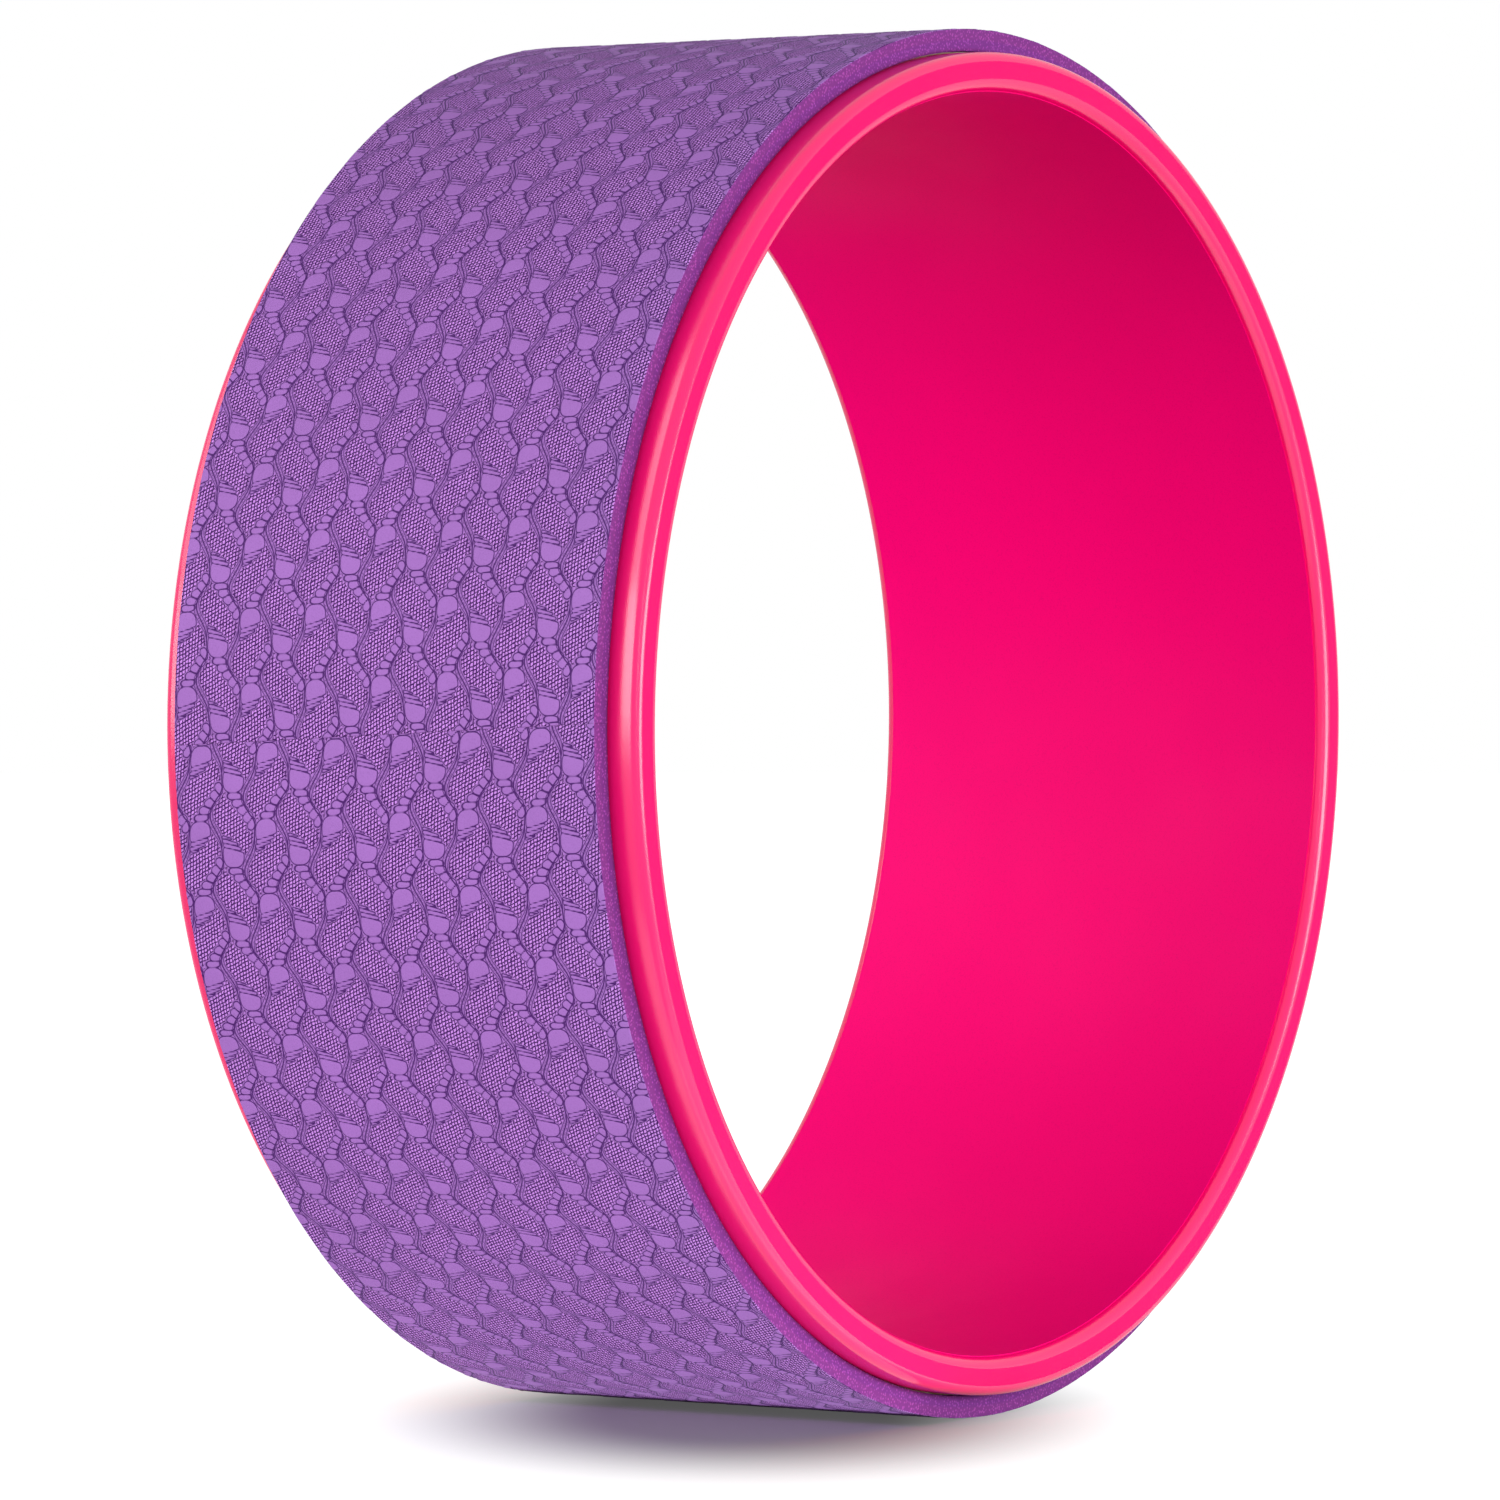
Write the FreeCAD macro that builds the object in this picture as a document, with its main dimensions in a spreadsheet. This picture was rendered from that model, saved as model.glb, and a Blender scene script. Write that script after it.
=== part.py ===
import FreeCAD, Part
import math
import os
import Sketcher

# Yoga wheel: a rigid moulded hoop with one strip of foam mat bonded round its outside.
# The wheel's axis runs along Y and its centre is the origin. It stands on its tread, with +Z up.
# Lengths are in millimetres and angles in degrees.

# Driving dimensions: name, value, what it measures
SIZES = (
    ("hoop_diameter", 307.3, "outside of the bare hoop"),
    ("hoop_width", 127.0, "hoop from end face to end face"),
    ("hoop_wall", 9.0, "thickness of the hoop"),
    ("outer_edge_round", 2.2, "round on the hoop's outer edges"),
    ("inner_edge_round", 2.6, "round on the hoop's inner edges"),
    ("lead_in_step", 0.2, "fine step where an inner round meets the bore"),
    ("round_limit_share", 0.45, "most of the wall that one round may take"),
    ("film_thickness", 0.25, "adhesive between the hoop and the mat"),
    ("bond_clearance", 0.1, "between the adhesive and the mat's back"),
    ("film_setback", 2.0, "from the mat's edge in to the adhesive's edge"),
    ("mat_thickness", 5.2, "foam mat"),
    ("mat_edge_round", 0.2, "softened outer edges of the mat"),
    ("rim_margin", 7.3, "bare hoop left on each side of the mat"),
    ("seam_gap", 0.2, "gap between the mat's two ends"),
    ("seam_drop", 1.1, "middle of the seam below the level of the axis"),
    ("seam_slant", 2.88, "angle between the seam and the axis"),
    ("cut_overrun", 5.0, "how far a cut runs on past the piece"),
)

# Sizes that follow from the driving dimensions, as expressions on the sheet
HOOP_RADIUS = "sizes.hoop_diameter / 2"
HOOP_HALF_WIDTH = "sizes.hoop_width / 2"
BORE_RADIUS = HOOP_RADIUS + " - sizes.hoop_wall"
OUTER_ROUND = "min(sizes.outer_edge_round; sizes.hoop_wall * sizes.round_limit_share)"
INNER_ROUND = "min(sizes.inner_edge_round; sizes.hoop_wall * sizes.round_limit_share)"
FILM_OUTSIDE = HOOP_RADIUS + " + sizes.film_thickness"
MAT_INSIDE = FILM_OUTSIDE + " + sizes.bond_clearance"
MAT_OUTSIDE = MAT_INSIDE + " + sizes.mat_thickness"
MAT_HALF_WIDTH = HOOP_HALF_WIDTH + " - sizes.rim_margin"
MAT_ROUND = "min(sizes.mat_edge_round; sizes.mat_thickness * sizes.round_limit_share)"
FILM_HALF_WIDTH = MAT_HALF_WIDTH + " - sizes.film_setback"
SEAM_LENGTH = f"2 * ({MAT_HALF_WIDTH} + sizes.cut_overrun)"
SEAM_REACH = MAT_OUTSIDE + " + sizes.cut_overrun"

# Sketcher's own numbers for an edge's points and for the sketch's origin
START, END, CENTRE = 1, 2, 3
ORIGIN = (-1, 1)

doc = FreeCAD.newDocument("yoga_wheel")


def make_sheet():
    sheet = doc.addObject("Spreadsheet::Sheet", "sizes")
    for row, (name, value, note) in enumerate(SIZES, start=1):
        sheet.set(f"A{row}", name)
        sheet.set(f"B{row}", str(value))
        sheet.setAlias(f"B{row}", name)
        sheet.set(f"C{row}", note)
    doc.recompute()
    return sheet


sheet = make_sheet()


def measure(expression):
    """The present value of an expression on the sheet."""
    return float(sheet.evalExpression(expression))


def new_sketch(body, name, role):
    """A sketch on one of the body's own planes."""
    sketch = body.newObject("Sketcher::SketchObject", name)
    plane = next(item for item in body.Origin.OriginFeatures if item.Role == role)
    sketch.AttachmentSupport = [(plane, "")]
    sketch.MapMode = "FlatFace"
    return sketch


def new_section(body, name):
    """A sketch of a ring's cross-section: x is the radius, y runs along the wheel's axis."""
    return new_sketch(body, name, "XY_Plane")


def add_line(sketch, start, end):
    return sketch.addGeometry(Part.LineSegment(FreeCAD.Vector(*start, 0), FreeCAD.Vector(*end, 0)))


def add_corner(sketch, centre, radius, start_angle):
    """A quarter round, counter-clockwise from start_angle."""
    circle = Part.Circle(FreeCAD.Vector(*centre, 0), FreeCAD.Vector(0, 0, 1), radius)
    first = math.radians(start_angle)
    return sketch.addGeometry(Part.ArcOfCircle(circle, first, first + math.pi / 2))


def join(sketch, kind, *ends):
    """Ties pairs of edges or edge ends: Coincident for a corner, Tangent for a smooth run."""
    for first, second in ends:
        sketch.addConstraint(Sketcher.Constraint(kind, *first, *second))


def align(sketch, kind, *edges):
    for edge in edges:
        sketch.addConstraint(Sketcher.Constraint(kind, edge))


def drive(sketch, name, expression, kind, *where):
    """Adds a named dimension that follows the sheet."""
    index = sketch.addConstraint(Sketcher.Constraint(kind, *where, measure(expression)))
    sketch.renameConstraint(index, name)
    sketch.setExpression("Constraints." + name, expression)


def revolve(body, section, name):
    """Turns a section once round the wheel's axis."""
    ring = body.newObject("PartDesign::Revolution", name)
    ring.Profile = section
    ring.ReferenceAxis = (section, ["V_Axis"])
    section.Visibility = False
    return ring


def make_core_hoop():
    """The hoop: a solid ring with rounded rims and a step at each end of its bore."""
    body = doc.addObject("PartDesign::Body", "core_hoop")
    sketch = new_section(body, "hoop_section")
    bore, outside = measure(BORE_RADIUS), measure(HOOP_RADIUS)
    face, step = measure(HOOP_HALF_WIDTH), measure("sizes.lead_in_step")
    inner, outer = measure(INNER_ROUND), measure(OUTER_ROUND)
    lead_in = bore + step
    wall_end, land_end = face - inner, face - outer

    bore_wall = add_line(sketch, (bore, -wall_end), (bore, wall_end))
    far_step = add_line(sketch, (bore, wall_end), (lead_in, wall_end))
    far_lead_in = add_corner(sketch, (lead_in + inner, wall_end), inner, 90)
    far_face = add_line(sketch, (lead_in + inner, face), (outside - outer, face))
    far_shoulder = add_corner(sketch, (outside - outer, land_end), outer, 0)
    land = add_line(sketch, (outside, -land_end), (outside, land_end))
    near_shoulder = add_corner(sketch, (outside - outer, -land_end), outer, 270)
    near_face = add_line(sketch, (lead_in + inner, -face), (outside - outer, -face))
    near_lead_in = add_corner(sketch, (lead_in + inner, -wall_end), inner, 180)
    near_step = add_line(sketch, (bore, -wall_end), (lead_in, -wall_end))

    align(sketch, "Vertical", bore_wall, land)
    align(sketch, "Horizontal", far_step, far_face, near_face, near_step)
    join(sketch, "Coincident",
         ((bore_wall, END), (far_step, START)), ((far_step, END), (far_lead_in, END)),
         ((bore_wall, START), (near_step, START)), ((near_step, END), (near_lead_in, START)))
    join(sketch, "Tangent",
         ((far_lead_in, START), (far_face, START)), ((far_face, END), (far_shoulder, END)),
         ((far_shoulder, START), (land, END)), ((land, START), (near_shoulder, END)),
         ((near_shoulder, START), (near_face, END)), ((near_face, START), (near_lead_in, END)))
    join(sketch, "Horizontal",
         ((far_lead_in, CENTRE), (far_lead_in, END)), ((near_lead_in, CENTRE), (near_lead_in, START)))
    join(sketch, "Equal", ((far_lead_in,), (near_lead_in,)), ((far_shoulder,), (near_shoulder,)),
         ((far_step,), (near_step,)))

    drive(sketch, "bore_radius", BORE_RADIUS, "DistanceX", *ORIGIN, bore_wall, START)
    drive(sketch, "hoop_radius", HOOP_RADIUS, "DistanceX", *ORIGIN, land, START)
    drive(sketch, "step_depth", "sizes.lead_in_step", "DistanceX", far_step, START, far_step, END)
    drive(sketch, "inner_round", INNER_ROUND, "Radius", far_lead_in)
    drive(sketch, "outer_round", OUTER_ROUND, "Radius", far_shoulder)
    drive(sketch, "far_half", HOOP_HALF_WIDTH, "DistanceY", *ORIGIN, far_face, START)
    drive(sketch, "near_half", HOOP_HALF_WIDTH, "DistanceY", near_face, START, *ORIGIN)
    revolve(body, sketch, "hoop_ring")
    return body


def make_adhesive_film():
    """The bond: a thin closed band on the hoop, a little narrower than the mat."""
    body = doc.addObject("PartDesign::Body", "adhesive_film")
    sketch = new_section(body, "film_section")
    inside, outside = measure(HOOP_RADIUS), measure(FILM_OUTSIDE)
    edge = measure(FILM_HALF_WIDTH)

    under = add_line(sketch, (inside, -edge), (inside, edge))
    far_edge = add_line(sketch, (inside, edge), (outside, edge))
    over = add_line(sketch, (outside, -edge), (outside, edge))
    near_edge = add_line(sketch, (inside, -edge), (outside, -edge))

    align(sketch, "Vertical", under, over)
    align(sketch, "Horizontal", far_edge, near_edge)
    join(sketch, "Coincident",
         ((under, END), (far_edge, START)), ((far_edge, END), (over, END)),
         ((under, START), (near_edge, START)), ((near_edge, END), (over, START)))

    drive(sketch, "under_radius", HOOP_RADIUS, "DistanceX", *ORIGIN, under, START)
    drive(sketch, "over_radius", FILM_OUTSIDE, "DistanceX", *ORIGIN, over, START)
    drive(sketch, "far_half", FILM_HALF_WIDTH, "DistanceY", *ORIGIN, far_edge, START)
    drive(sketch, "near_half", FILM_HALF_WIDTH, "DistanceY", near_edge, START, *ORIGIN)
    revolve(body, sketch, "film_band")
    return body


def make_tread_mat():
    """The mat: a foam strip wrapped once round the hoop."""
    body = doc.addObject("PartDesign::Body", "tread_mat")
    sketch = new_section(body, "mat_section")
    inside, outside = measure(MAT_INSIDE), measure(MAT_OUTSIDE)
    edge, soft = measure(MAT_HALF_WIDTH), measure(MAT_ROUND)

    bonded = add_line(sketch, (inside, -edge), (inside, edge))
    far_cut = add_line(sketch, (inside, edge), (outside - soft, edge))
    far_soft = add_corner(sketch, (outside - soft, edge - soft), soft, 0)
    tread = add_line(sketch, (outside, soft - edge), (outside, edge - soft))
    near_soft = add_corner(sketch, (outside - soft, soft - edge), soft, 270)
    near_cut = add_line(sketch, (inside, -edge), (outside - soft, -edge))

    align(sketch, "Vertical", bonded, tread)
    align(sketch, "Horizontal", far_cut, near_cut)
    join(sketch, "Coincident",
         ((bonded, END), (far_cut, START)), ((bonded, START), (near_cut, START)))
    join(sketch, "Tangent",
         ((far_cut, END), (far_soft, END)), ((far_soft, START), (tread, END)),
         ((tread, START), (near_soft, END)), ((near_soft, START), (near_cut, END)))
    join(sketch, "Equal", ((far_soft,), (near_soft,)))

    drive(sketch, "bonded_radius", MAT_INSIDE, "DistanceX", *ORIGIN, bonded, START)
    drive(sketch, "tread_radius", MAT_OUTSIDE, "DistanceX", *ORIGIN, tread, START)
    drive(sketch, "soft_round", MAT_ROUND, "Radius", far_soft)
    drive(sketch, "far_half", MAT_HALF_WIDTH, "DistanceY", *ORIGIN, far_cut, START)
    drive(sketch, "near_half", MAT_HALF_WIDTH, "DistanceY", near_cut, START, *ORIGIN)
    revolve(body, sketch, "mat_strip")
    cut_seam(body)
    return body


def cut_seam(body):
    """Parts the strip on the -X side by a hair, a little aslant, so that its two ends meet in a butt seam."""
    sketch = new_sketch(body, "seam_outline", "YZ_Plane")
    slant = FreeCAD.Rotation(FreeCAD.Vector(0, 0, -1), measure("sizes.seam_slant"))
    sketch.AttachmentOffset = FreeCAD.Placement(FreeCAD.Vector(0, -measure("sizes.seam_drop"), 0), slant)
    sketch.setExpression("AttachmentOffset.Base.y", "-sizes.seam_drop")
    sketch.setExpression("AttachmentOffset.Rotation.Angle", "sizes.seam_slant")
    end, side = measure(SEAM_LENGTH) / 2, measure("sizes.seam_gap") / 2

    lower = add_line(sketch, (-end, -side), (end, -side))
    far_end = add_line(sketch, (end, -side), (end, side))
    upper = add_line(sketch, (end, side), (-end, side))
    near_end = add_line(sketch, (-end, side), (-end, -side))

    align(sketch, "Horizontal", lower, upper)
    align(sketch, "Vertical", far_end, near_end)
    join(sketch, "Coincident",
         ((lower, END), (far_end, START)), ((far_end, END), (upper, START)),
         ((upper, END), (near_end, START)), ((near_end, END), (lower, START)))
    join(sketch, "Symmetric", ((lower, START, upper, START), ORIGIN))

    drive(sketch, "seam_length", SEAM_LENGTH, "DistanceX", lower, START, lower, END)
    drive(sketch, "seam_width", "sizes.seam_gap", "DistanceY", far_end, START, far_end, END)
    seam = body.newObject("PartDesign::Pocket", "butt_seam")
    seam.Profile = sketch
    seam.setExpression("Length", SEAM_REACH)
    sketch.Visibility = False
    return seam


def check(bodies):
    """Stops on any failed object, loose sketch or unsound solid."""
    for item in doc.Objects:
        if {"Invalid", "Error"} & set(item.State):
            raise RuntimeError(f"{item.Label} failed: {item.State}")
        if item.isDerivedFrom("Sketcher::SketchObject") and item.solve() != 0:
            raise RuntimeError(f"{item.Label} doesn't solve")
    for body in bodies:
        shape = body.Shape
        if shape.isNull() or not shape.isValid() or len(shape.Solids) != 1:
            raise RuntimeError(f"{body.Label} isn't one valid solid")
        print(f"{body.Label}: {shape.Volume:.0f} mm3")
    if not doc.butt_seam.Shape.Volume < doc.mat_strip.Shape.Volume:
        raise RuntimeError("the seam cuts nothing")


subparts = [make_core_hoop(), make_adhesive_film(), make_tread_mat()]
doc.recompute()
check(subparts)
os.makedirs("parts", exist_ok=True)
for body in subparts:
    body.Shape.exportStep(f"parts/{body.Label}.step")
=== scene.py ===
"""The look of a yoga wheel: a moulded plastic hoop with an embossed foam mat bonded round it.

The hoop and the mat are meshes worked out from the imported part's own sizes. Lengths are metres,
apart from the lace pattern of the mat, which is laid out in millimetres.
"""

import math

import bmesh
import bpy
import numpy as np
from mathutils import Matrix, Vector


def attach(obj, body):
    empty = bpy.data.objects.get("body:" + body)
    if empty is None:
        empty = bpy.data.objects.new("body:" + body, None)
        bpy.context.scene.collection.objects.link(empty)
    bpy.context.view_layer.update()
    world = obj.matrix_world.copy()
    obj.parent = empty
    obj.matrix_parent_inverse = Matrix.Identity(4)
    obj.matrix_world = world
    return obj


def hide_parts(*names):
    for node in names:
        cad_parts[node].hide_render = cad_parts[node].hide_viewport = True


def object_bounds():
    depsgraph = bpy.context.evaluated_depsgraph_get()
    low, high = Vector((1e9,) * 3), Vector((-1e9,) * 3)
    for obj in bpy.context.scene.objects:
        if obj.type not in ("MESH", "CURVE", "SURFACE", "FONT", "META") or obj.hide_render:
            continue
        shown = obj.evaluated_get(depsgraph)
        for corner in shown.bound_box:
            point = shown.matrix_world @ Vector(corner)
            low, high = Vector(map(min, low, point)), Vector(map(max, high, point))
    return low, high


bl_info = {
    "name": "Yoga Wheel",
    "version": (1, 0, 0),
    "blender": (4, 5, 0),
    "location": "3D View > Sidebar > Yoga Wheel",
    "description": "Builds a plastic hoop with an embossed foam tread on a plain white stage",
    "category": "Add Mesh",
}

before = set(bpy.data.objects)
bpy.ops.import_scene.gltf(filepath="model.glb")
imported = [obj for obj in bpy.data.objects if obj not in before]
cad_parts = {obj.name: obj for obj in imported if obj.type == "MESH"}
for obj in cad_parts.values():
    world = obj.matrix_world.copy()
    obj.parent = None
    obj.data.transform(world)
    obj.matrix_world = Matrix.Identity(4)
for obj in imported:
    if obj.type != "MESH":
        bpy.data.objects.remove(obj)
CAD_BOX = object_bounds()

MM = 0.001
BODY = "root"


def ring_size(node):
    """Inner radius, outer radius and half width of a packed ring."""
    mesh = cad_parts[node].data
    points = np.empty(len(mesh.vertices) * 3)
    mesh.vertices.foreach_get("co", points)
    points = points.reshape(-1, 3)
    radius = np.hypot(points[:, 0], points[:, 2])
    return float(radius.min()), float(radius.max()), float(abs(points[:, 1]).max())


HOOP_INSIDE, HOOP_OUTSIDE, HOOP_HALF_WIDTH = ring_size("core_hoop")
MAT_INSIDE, MAT_OUTSIDE, MAT_HALF_WIDTH = ring_size("tread_mat")


def display(red, green, blue):
    """Scene linear colour of a 0 to 255 display colour."""
    def linear(level):
        part = level / 255
        return part / 12.92 if part <= 0.04045 else ((part + 0.055) / 1.055) ** 2.4
    return linear(red), linear(green), linear(blue)


def length(name, description, default):
    """A size that a user may change."""
    return bpy.props.FloatProperty(
        name=name, description=description, default=default, unit="LENGTH", precision=5)


def turn(name, description, degrees):
    """An angle that a user may change."""
    return bpy.props.FloatProperty(
        name=name, description=description, default=math.radians(degrees), subtype="ANGLE")


def share(name, description, default):
    """A level from none to full."""
    return bpy.props.FloatProperty(
        name=name, description=description, default=default, min=0, max=1, subtype="FACTOR")


def power(name, description, default):
    """The power of a lamp."""
    return bpy.props.FloatProperty(
        name=name, description=description, default=default, min=0, unit="POWER")


def colour(name, description, red, green, blue):
    """A colour that a user may change, given as it shows on a display."""
    return bpy.props.FloatVectorProperty(
        name=name, description=description, default=display(red, green, blue),
        size=3, min=0, max=1, subtype="COLOR")


class HoopSettings(bpy.types.PropertyGroup):
    """Sizes and finish of the plastic hoop and of the bond on it."""
    inside: length("Bore radius", "Radius of the hoop's bore", HOOP_INSIDE)
    outside: length("Outer radius", "Radius of the hoop under the mat", HOOP_OUTSIDE)
    half_width: length("Half width", "From the middle of the hoop to its end face", HOOP_HALF_WIDTH)
    outer_round: length("Outer round", "Rounding of the outer edges", 2.2 * MM)
    inner_round: length("Inner round", "Rounding of the edges of the bore", 2.6 * MM)
    lead_in: length("Lead-in step", "Step between the inner round and the bore", 0.2 * MM)
    plastic: colour("Plastic", "Colour of the moulded plastic in the bore", 250, 0, 124)
    # painted light: a copy of the plastic colour, less blue, that stands for the other light on the
    # rims and end faces; the hoop is one plastic
    rim_plastic: colour("Rim plastic, lit copy", "Colour of the plastic on the rims", 250, 8, 108)
    rim_roughness: share("Rim roughness", "Roughness of the rounded rims", 0.21)
    bore_roughness: share("Bore roughness", "Roughness of the bore", 0.5)
    face_roughness: share("Face roughness", "Roughness of the trimmed end faces", 0.5)
    adhesive: colour("Adhesive", "Colour of the dried bond", 214, 200, 160)


class MatSettings(bpy.types.PropertyGroup):
    """Sizes, relief and colours of the foam mat."""
    inside: length("Inner radius", "Radius of the mat's underside", MAT_INSIDE)
    outside: length("Tread radius", "Radius over the raised relief", MAT_OUTSIDE)
    half_width: length("Half width", "From the middle of the mat to its cut edge", MAT_HALF_WIDTH)
    edge_round: length("Edge round", "Rounding of the cut edges", 0.2 * MM)
    seam_gap: length("Seam gap", "Gap between the two ends of the mat", 0.01 * MM)
    seam_round: length("Seam rounding", "How far the ends sink at the seam", 0.04 * MM)
    seam_place: turn("Seam place", "Where the ends meet, turned from the +X axis", 180.4)
    seam_slant: turn("Seam slant", "Slant of the cut ends across the mat", 2.88)
    grain: length("Mesh step", "Distance between points of the relief", 0.36 * MM)
    weave_depth: length("Weave depth", "Depth of the woven cells under the raised nodes", 0.09 * MM)
    outline_depth: length("Outline depth", "Depth of the groove round each raised shape", 0.05 * MM)
    stem_depth: length("Stem depth", "Depth of the wavy grooves", 0.06 * MM)
    raised: colour("Raised foam", "Colour of the raised shapes", 163, 110, 191)
    woven: colour("Woven foam", "Colour of the threads of the woven cells", 207, 142, 235)
    # painted shade: the colour that stands for the shade in the grooves, the gaps of the weave and the
    # open cells of the cut sides
    groove: colour("Groove shade", "Colour deep in the grooves", 72, 26, 102)
    # two tones of the cut side: lighter and more magenta in its half towards the tread, darker and
    # bluer in its half towards the hoop
    tread_half_tone: colour("Tread half tone", "Cut side of the foam's upper layer", 172, 82, 176)
    hoop_half_tone: colour("Hoop half tone", "Cut side of the foam's lower layer", 162, 78, 178)


class StageSettings(bpy.types.PropertyGroup):
    """Floor, lamps and camera."""
    floor: colour("Floor", "Colour of the floor", 165, 165, 165)
    ambient: share("Ambient", "Strength of the light from all round", 0.53)
    overhead: share("Overhead", "Strength of the light from straight above", 0.33)
    lift: share("Floor lift", "Light added to the floor in the shadow where it is seen", 0.085)
    # painted shadow: half sizes of the ellipse round the wheel's foot where the white lift is weak and
    # the grey floor shows
    painted_shadow_wide: length("Painted shadow width", "Half width of the shadow that is kept on the floor", 73 * MM)
    painted_shadow_deep: length("Painted shadow depth", "Half depth of the shadow that is kept on the floor", 134 * MM)
    left_lamp: power("Left lamp", "Power of the lamp on the tread's side", 10.9)
    front_lamp: power("Front lamp", "Power of the lamp in front of the hoop's near rim", 10)
    bore_lamp: power("Bore lamp", "Power of the lamp that shines into the hoop's bore", 13)
    shine_lamp: power("Shine lamp", "Power of the lamp above the tread, for gloss alone", 7.5)
    tread_glow: power("Tread glow", "Power of the lamp on the floor under the tread, facing up", 0.18)
    rim_glow: power("Rim glow", "Power of the lamp on the floor before the near rim, facing up", 0.25)
    distance: length("Camera distance", "Camera to the middle of the wheel", 1.9154557)
    azimuth: turn("Camera azimuth", "Camera's turn round the wheel", -56.6068)
    elevation: turn("Camera elevation", "Camera's height as an angle", 0.8942)
    sideways: length("Camera shift sideways", "Camera moved to its right", -7.3177 * MM)
    upwards: length("Camera shift upwards", "Camera moved up", -6.4738 * MM)
    lens: bpy.props.FloatProperty(
        name="Lens", description="Focal length in millimetres", default=197.0121, unit="CAMERA")


class Finish:
    """A procedural material, with short ways to add nodes to it."""
    # sockets of the mix node that take and give colours
    MIX_FACTOR, MIX_FIRST, MIX_SECOND, MIX_RESULT = 0, 6, 7, 2

    def __init__(self, name):
        self.material = bpy.data.materials.new(name)
        self.material.use_nodes = True
        self.tree = self.material.node_tree
        self.shader = self.tree.nodes["Principled BSDF"]

    def feed(self, socket, value):
        """Links a socket to another one, or sets its value."""
        if isinstance(value, bpy.types.NodeSocket):
            self.tree.links.new(value, socket)
        else:
            socket.default_value = value

    def add(self, kind, sockets, **settings):
        """Adds a node, applies its settings and feeds its sockets."""
        node = self.tree.nodes.new(kind)
        for key, value in settings.items():
            setattr(node, key, value)
        for key, value in sockets.items():
            self.feed(node.inputs[key], value)
        return node

    def surface(self, **sockets):
        """Feeds the shader. Underscores in the names stand for spaces."""
        for key, value in sockets.items():
            self.feed(self.shader.inputs[key.replace("_", " ")], value)

    def place(self):
        """Where a point of the piece is, in metres."""
        return self.add("ShaderNodeTexCoord", {}).outputs["Object"]

    def attribute(self, name, output="Fac"):
        """A value stored on the mesh."""
        return self.add("ShaderNodeAttribute", {}, attribute_name=name).outputs[output]

    def math(self, operation, first, second=0.0):
        """One arithmetic step."""
        return self.add("ShaderNodeMath", {0: first, 1: second}, operation=operation).outputs[0]

    def ramp(self, value, low, high, start=0.0, end=1.0):
        """Eases from start to end as the value goes from low to high."""
        node = self.add(
            "ShaderNodeMapRange",
            {"Value": value, "From Min": low, "From Max": high, "To Min": start, "To Max": end},
            interpolation_type="SMOOTHSTEP")
        return node.outputs["Result"]

    def noise(self, scale, detail, output="Fac"):
        """Cloudy noise from 0 to 1."""
        node = self.add(
            "ShaderNodeTexNoise", {"Vector": self.place(), "Scale": scale, "Detail": detail})
        return node.outputs[output]

    def mix(self, factor, first, second):
        """Blends two colours."""
        node = self.add("ShaderNodeMix", {}, data_type="RGBA")
        self.feed(node.inputs[self.MIX_FACTOR], factor)
        self.feed(node.inputs[self.MIX_FIRST], first)
        self.feed(node.inputs[self.MIX_SECOND], second)
        return node.outputs[self.MIX_RESULT]

    def bump(self, height, distance, under=None):
        """Tilts the surface by a height map, on top of another tilt where one is given."""
        sockets = {"Height": height, "Distance": distance, "Strength": 1.0}
        if under is not None:
            sockets["Normal"] = under
        return self.add("ShaderNodeBump", sockets).outputs["Normal"]


def solid(tint, level=1.0):
    """A colour socket's value, made darker or lighter."""
    return tint[0] * level, tint[1] * level, tint[2] * level, 1.0


def moulded_plastic(name, plastic, roughness, shine, peel, speckle):
    """Glossy pink plastic with a faint orange peel, and a speckle where it was trimmed."""
    cloud_scale, smear_scale, peel_scale, speck_scale = 14.0, 38.0, 420.0, 2600.0
    cloud_shade, speck_shade = 0.97, 0.72
    speck_depth = 0.04 * MM
    smoother, rougher = roughness - 0.03, roughness + 0.04
    finish = Finish(name)
    clouds = finish.ramp(finish.noise(cloud_scale, 3.0), 0.35, 0.65)
    tone = finish.mix(clouds, solid(plastic, cloud_shade), solid(plastic))
    skin = finish.bump(finish.noise(peel_scale, 2.0), peel)
    if speckle:
        specks = finish.noise(speck_scale, 1.0)
        dots = finish.math("MULTIPLY", finish.ramp(specks, 0.52, 0.7), speckle)
        tone = finish.mix(dots, tone, solid(plastic, speck_shade))
        skin = finish.bump(specks, speck_depth * speckle, skin)
    smears = finish.noise(smear_scale, 4.0)
    finish.surface(
        Base_Color=tone,
        Roughness=finish.ramp(smears, 0.3, 0.7, smoother, rougher),
        Specular_IOR_Level=shine,
        Normal=skin)
    return finish.material


def dried_adhesive(look):
    """The bond between the hoop and the mat."""
    streak_scale, streak_shade, streak_depth = 90.0, 0.8, 0.1 * MM
    smoother, rougher = 0.45, 0.7
    finish = Finish("dried_adhesive")
    streaks = finish.noise(streak_scale, 4.0)
    finish.surface(
        Base_Color=finish.mix(streaks, solid(look.adhesive, streak_shade), solid(look.adhesive)),
        Roughness=finish.ramp(streaks, 0.3, 0.7, smoother, rougher),
        Normal=finish.bump(streaks, streak_depth))
    return finish.material


def stem_lines(finish, name):
    """Distances from a stem and from the finer grooves on both sides of it.

    The mesh holds the sine and cosine of the offset from the stem, and how far off the finer
    grooves run.
    """
    stored = finish.attribute(name, "Vector")
    parts = finish.add("ShaderNodeSeparateXYZ", {"Vector": stored}).outputs
    turned = finish.math("ARCTAN2", parts["X"], parts["Y"])
    away = finish.math("ABSOLUTE", finish.math("MULTIPLY", turned, Lace.WIDE / (2 * math.pi)))
    return away, finish.math("ABSOLUTE", finish.math("SUBTRACT", away, parts["Z"]))


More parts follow.
